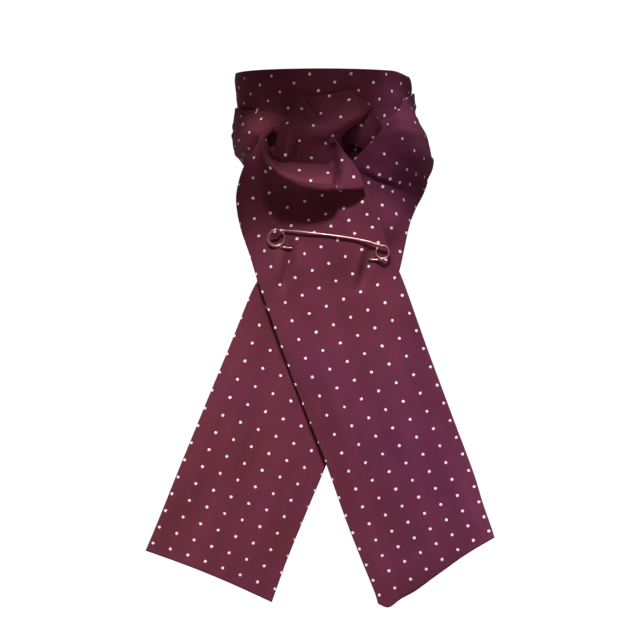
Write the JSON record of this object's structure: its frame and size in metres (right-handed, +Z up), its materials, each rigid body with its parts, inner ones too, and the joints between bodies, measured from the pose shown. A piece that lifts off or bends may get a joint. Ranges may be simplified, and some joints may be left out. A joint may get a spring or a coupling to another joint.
{
  "type": "worn stock tie with pin",
  "caption": "Burgundy dotted stock tie in its worn form: round neckband, knot at the throat, crossed hanging tails and a wire stock pin.",
  "frame": {"origin": "middle of the neckband ring, where the wearer's neck holds it", "axes": "+Z up along the neck, -Y to the front (knot and tails), +X to the right as seen from the front"},
  "size_m": [0.2127, 0.144, 0.3313],
  "materials": {
    "cloth": "smooth satin-backed weave, burgundy with small woven pink-white dots",
    "pin_wire": "polished rose-toned wire"
  },
  "bodies": {
    "root": {"neckband": "cloth", "wrap_left": "cloth", "wrap_right": "cloth", "knot_cross": "cloth", "knot_loop": "cloth", "knot_core": "cloth", "front_tail": "cloth", "back_tail": "cloth", "stock_pin": "pin_wire"}
  },
  "joints": []
}
